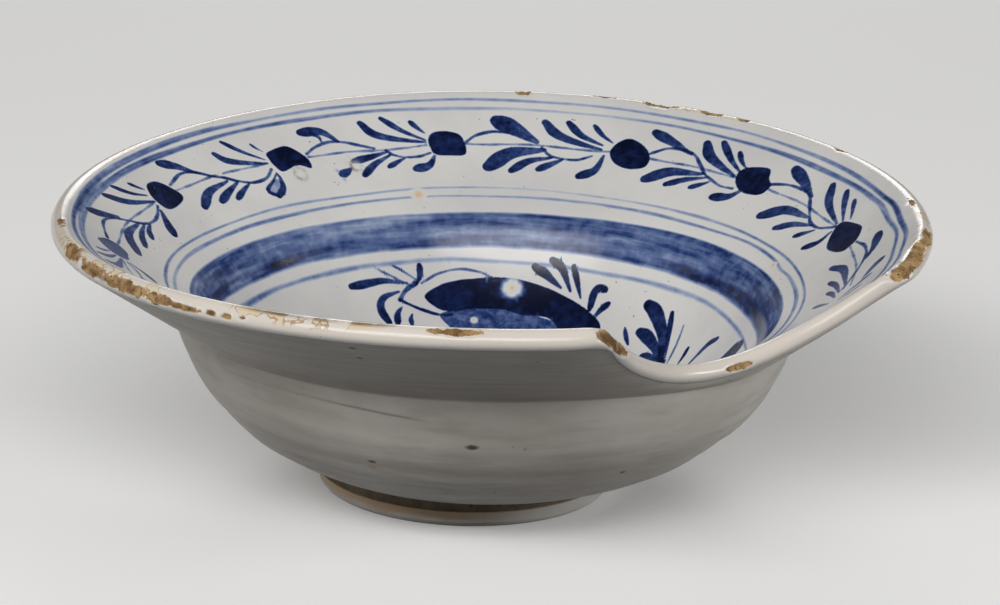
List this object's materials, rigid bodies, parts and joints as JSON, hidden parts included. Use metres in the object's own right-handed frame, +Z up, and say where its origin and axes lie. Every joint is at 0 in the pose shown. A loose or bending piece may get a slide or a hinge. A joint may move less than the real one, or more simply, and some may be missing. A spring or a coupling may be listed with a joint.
{
  "type": "barber bowl",
  "caption": "Tin-glazed earthenware barber bowl with a deep round well, a broad sloping flange, a neck notch in the rim and a low foot ring.",
  "frame": {"origin": "on the table, under the axis of the bowl", "axes": "+Z up along the bowl's axis, -Y the front as pictured, the neck notch between -Y and +X"},
  "size_m": [0.26, 0.26, 0.0859],
  "materials": {
    "clay": "matt fired clay",
    "painted_glaze": "glossy tin glaze painted in cobalt blue",
    "plain_glaze": "glossy tin glaze"
  },
  "bodies": {
    "root": {"clay_body": "clay", "foot_ring": "clay", "inside_glaze": "painted_glaze", "outside_glaze": "plain_glaze", "notch_glaze": "painted_glaze", "foot_glaze": "plain_glaze", "base_glaze": "plain_glaze"}
  },
  "joints": []
}
